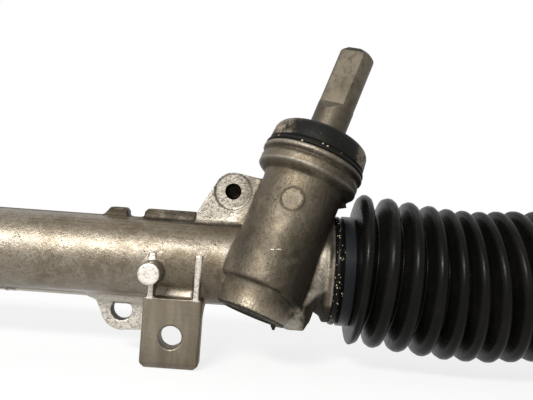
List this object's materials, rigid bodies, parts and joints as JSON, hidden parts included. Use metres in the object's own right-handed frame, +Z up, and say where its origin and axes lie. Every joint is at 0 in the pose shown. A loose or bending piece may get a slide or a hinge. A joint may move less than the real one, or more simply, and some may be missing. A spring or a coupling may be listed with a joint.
{
  "type": "steering rack",
  "caption": "Rack-and-pinion steering rack: cast housing with leaning pinion tower and bolting feet, splash cap, flatted input shaft, bellows boots and tie rods.",
  "frame": {"origin": "middle of the line between the two foot bolt holes, on the machined front face of the feet", "axes": "+X along the rack towards the pinion end, +Y to the rear away from the machined face, +Z up"},
  "size_m": [1.12, 0.0833, 0.145],
  "materials": {
    "cast_aluminium": "die-cast, pitted and grimy, machined on the feet and bores",
    "ground_steel": "ground and lightly oiled",
    "machined_steel": "turned and lightly tarnished",
    "bearing_steel": "ground",
    "spring_steel": "blued",
    "dark_steel": "dark and greasy",
    "plated_steel": "zinc plated",
    "band_steel": "blackened band",
    "sintered_metal": "sintered",
    "boot_rubber": "satin moulded rubber",
    "cap_rubber": "moulded rubber, worn pale at its edges",
    "seal_rubber": "moulded",
    "bearing_polymer": "natural polymer",
    "cage_polymer": "glass-filled polymer"
  },
  "bodies": {
    "housing": {"rack_housing": "cast_aluminium", "bearing_outer_ring": "bearing_steel", "needle_bush": "bearing_steel", "tower_end_plug": "dark_steel", "bearing_retaining_nut": "plated_steel", "oil_seal": "seal_rubber", "pinion_dust_cap": "cap_rubber", "rack_guide": "sintered_metal", "guide_liner": "bearing_polymer", "guide_o_ring": "seal_rubber", "guide_disc_springs": "spring_steel", "guide_plug": "plated_steel", "guide_lock_nut": "plated_steel", "rack_bush": "bearing_polymer", "bush_snap_ring": "spring_steel", "boot_right": "boot_rubber", "boot_left": "boot_rubber", "boot_band_right": "band_steel", "boot_band_left": "band_steel"},
    "rack": {"rack_bar": "ground_steel", "stop_washer_right": "plated_steel", "stop_washer_left": "plated_steel", "inner_joint_right": "machined_steel", "inner_joint_left": "machined_steel"},
    "pinion": {"pinion_shaft": "machined_steel", "bearing_inner_ring": "bearing_steel", "shaft_circlip": "spring_steel"},
    "bearing_cage": {"bearing_balls": "bearing_steel", "bearing_cage": "cage_polymer"},
    "ball_liner_right": {"ball_liner_right": "bearing_polymer"},
    "ball_liner_left": {"ball_liner_left": "bearing_polymer"},
    "tie_rod_right": {"tie_rod_right": "machined_steel", "jam_nut_right": "plated_steel", "boot_clip_right": "spring_steel"},
    "tie_rod_left": {"tie_rod_left": "machined_steel", "jam_nut_left": "plated_steel", "boot_clip_left": "spring_steel"}
  },
  "joints": [
    {"name": "rack_slide", "type": "slide", "parent": "housing", "child": "rack", "axis": [1, 0, 0], "range_m": [-0.072, 0.072], "deforming": ["boot_right", "boot_left"]},
    {"name": "pinion_spin", "type": "hinge", "parent": "housing", "child": "pinion", "pos_m": [0.1765, 0.00253, 0.035], "axis": [0.3173, 0.2374, 0.9181], "range_deg": [-590, 590]},
    {"name": "bearing_cage_spin", "type": "hinge", "parent": "housing", "child": "bearing_cage", "pos_m": [0.18761, 0.01084, 0.06714], "axis": [0.3173, 0.2374, 0.9181], "range_deg": [-236, 236]},
    {"name": "tie_rod_rise_right", "type": "hinge", "parent": "rack", "child": "ball_liner_right", "pos_m": [0.304, 0.018, 0.031], "axis": [0, 1, 0], "range_deg": [-24, 24], "deforming": ["boot_right"]},
    {"name": "tie_rod_sweep_right", "type": "hinge", "parent": "ball_liner_right", "child": "tie_rod_right", "pos_m": [0.304, 0.018, 0.031], "axis": [0, 0, 1], "range_deg": [-10, 10], "deforming": ["boot_right"]},
    {"name": "tie_rod_rise_left", "type": "hinge", "parent": "rack", "child": "ball_liner_left", "pos_m": [-0.304, 0.018, 0.031], "axis": [0, 1, 0], "range_deg": [-24, 24], "deforming": ["boot_left"]},
    {"name": "tie_rod_sweep_left", "type": "hinge", "parent": "ball_liner_left", "child": "tie_rod_left", "pos_m": [-0.304, 0.018, 0.031], "axis": [0, 0, 1], "range_deg": [-10, 10], "deforming": ["boot_left"]}
  ],
  "couplings": [
    {"joint": "pinion_spin", "follows": "rack_slide", "rad_per_m": -142.86},
    {"joint": "bearing_cage_spin", "follows": "rack_slide", "rad_per_m": -57.143}
  ]
}
